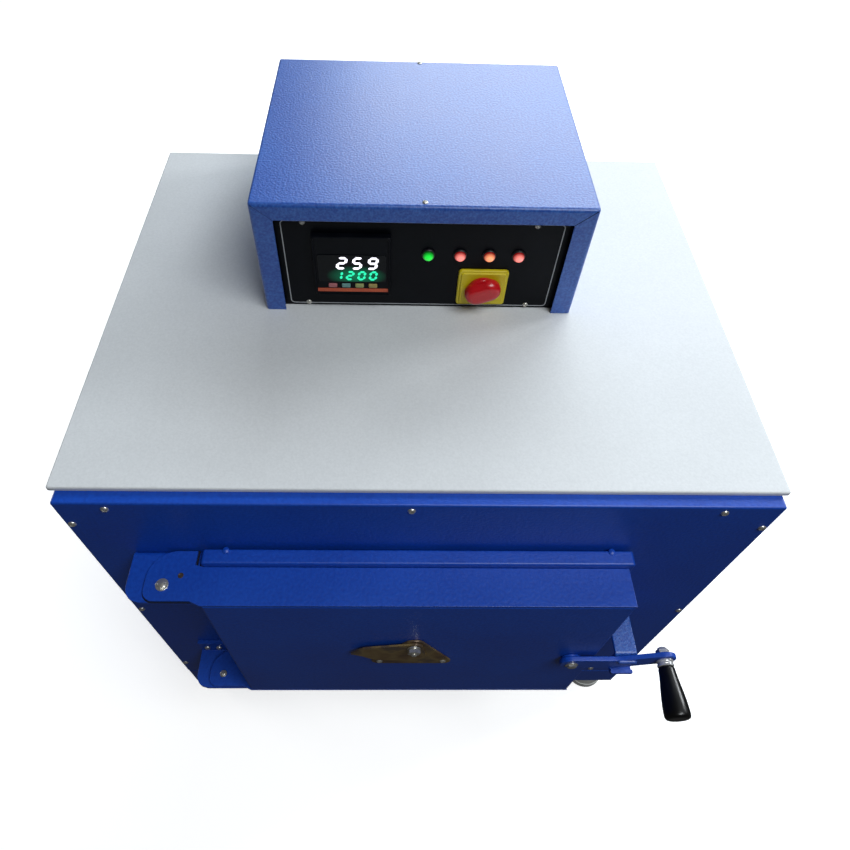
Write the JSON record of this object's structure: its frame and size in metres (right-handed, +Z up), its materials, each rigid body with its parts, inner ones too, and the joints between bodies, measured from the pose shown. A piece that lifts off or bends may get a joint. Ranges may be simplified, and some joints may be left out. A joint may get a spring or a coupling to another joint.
{
  "type": "muffle furnace",
  "caption": "Box-shaped electric muffle furnace in blue sheet steel with a grey top cover, a side-hinged latched door and a control box on top.",
  "frame": {"origin": "middle of the bounding box, on the plane the feet stand on", "axes": "+X to the furnace's right seen from the front, +Y to its back, +Z up"},
  "size_m": [0.61, 0.626, 0.712],
  "materials": {
    "blue_paint": "royal-blue powder coat with a fine orange-peel texture",
    "grey_paint": "pale grey powder coat, satin",
    "foot_rubber": "light grey moulded rubber",
    "fibre_board": "vacuum-formed ceramic fibre, matt off-white",
    "firebrick": "cast refractory, matt buff",
    "silicon_carbide": "pressed silicon carbide, matt dark grey",
    "element_wire": "oxidised resistance wire",
    "ceramic": "glazed ceramic",
    "cast_aluminium": "sand-cast aluminium",
    "black_plastic": "moulded black plastic, fine spark texture",
    "grip_plastic": "glossy black phenolic",
    "panel_black": "black printed front panel, satin",
    "zinc_steel": "zinc-plated steel",
    "heat_tinted_steel": "steel browned by heat",
    "chrome": "chrome plate",
    "green_lens": "lit green indicator lens",
    "red_lens": "lit red indicator lens",
    "yellow_plastic": "moulded yellow plastic",
    "red_plastic": "moulded red plastic",
    "rope_seal": "woven glass-fibre rope",
    "key_pink": "soft-touch key, pink",
    "key_teal": "soft-touch key, teal",
    "key_lime": "soft-touch key, lime",
    "key_amber": "soft-touch key, amber"
  },
  "bodies": {
    "furnace": {"back_panel": "blue_paint", "cable_gland": "black_plastic", "casing": "blue_paint", "contactor": "black_plastic", "control_chassis": "zinc_steel", "control_cover": "blue_paint", "control_panel": "panel_black", "controller_bezel": "black_plastic", "controller_case": "black_plastic", "element_left": "element_wire", "element_right": "element_wire", "foot_back_left": "foot_rubber", "foot_back_right": "foot_rubber", "foot_front_left": "foot_rubber", "foot_front_right": "foot_rubber", "front_fascia": "blue_paint", "hearth_plate": "silicon_carbide", "insulation_back": "fibre_board", "insulation_bottom": "fibre_board", "insulation_left": "fibre_board", "insulation_right": "fibre_board", "insulation_top": "fibre_board", "lamp_heating": "green_lens", "lamp_phase_1": "red_lens", "lamp_phase_2": "red_lens", "lamp_phase_3": "red_lens", "latch_keeper": "blue_paint", "lower_hinge_bolt": "zinc_steel", "lower_hinge_bracket": "blue_paint", "muffle": "firebrick", "plinth": "blue_paint", "switch_contacts": "black_plastic", "switch_plate": "yellow_plastic", "terminal_cover": "blue_paint", "terminal_row": "ceramic", "thermocouple_head": "cast_aluminium", "thermocouple_sheath": "ceramic", "top_cover": "grey_paint", "upper_hinge_bolt": "zinc_steel", "upper_hinge_bracket": "blue_paint"},
    "door": {"door_pan": "blue_paint", "door_top_plate": "blue_paint", "door_bottom_plate": "blue_paint", "door_insulation": "fibre_board", "door_frame": "blue_paint", "door_plug": "fibre_board", "door_gasket": "rope_seal", "sight_plate": "heat_tinted_steel", "sight_bolt": "zinc_steel", "lever_bolt": "zinc_steel"},
    "sight_flap": {"sight_flap": "heat_tinted_steel"},
    "latch_lever": {"lever": "blue_paint", "grip_stud": "chrome"},
    "lever_grip": {"lever_grip": "grip_plastic"},
    "switch_knob": {"switch_knob": "red_plastic"},
    "key_1": {"key_1": "key_pink"},
    "key_2": {"key_2": "key_teal"},
    "key_3": {"key_3": "key_lime"},
    "key_4": {"key_4": "key_amber"}
  },
  "joints": [
    {"name": "door_hinge", "type": "hinge", "parent": "furnace", "child": "door", "pos_m": [-0.2249, -0.2315, 0.351], "axis": [0, 0, -1], "range_deg": [0, 110]},
    {"name": "sight_flap_pivot", "type": "hinge", "parent": "door", "child": "sight_flap", "pos_m": [-0.002, -0.2497, 0.392], "axis": [0, 1, 0], "range_deg": [0, 75]},
    {"name": "latch_pivot", "type": "hinge", "parent": "door", "child": "latch_lever", "pos_m": [0.163, -0.2497, 0.347], "axis": [0, -1, 0], "range_deg": [0, 50]},
    {"name": "grip_spin", "type": "hinge", "parent": "latch_lever", "child": "lever_grip", "pos_m": [0.255, -0.2647, 0.363], "axis": [0, -1, 0], "continuous": true},
    {"name": "mains_switch", "type": "hinge", "parent": "furnace", "child": "switch_knob", "pos_m": [0.06, 0.018, 0.616], "axis": [0, -1, 0], "range_deg": [0, 90]},
    {"name": "key_1_press", "type": "slide", "parent": "furnace", "child": "key_1", "axis": [0, 1, 0], "range_m": [0, 0.0008], "stiffness_N_per_m": 400},
    {"name": "key_2_press", "type": "slide", "parent": "furnace", "child": "key_2", "axis": [0, 1, 0], "range_m": [0, 0.0008], "stiffness_N_per_m": 400},
    {"name": "key_3_press", "type": "slide", "parent": "furnace", "child": "key_3", "axis": [0, 1, 0], "range_m": [0, 0.0008], "stiffness_N_per_m": 400},
    {"name": "key_4_press", "type": "slide", "parent": "furnace", "child": "key_4", "axis": [0, 1, 0], "range_m": [0, 0.0008], "stiffness_N_per_m": 400}
  ]
}
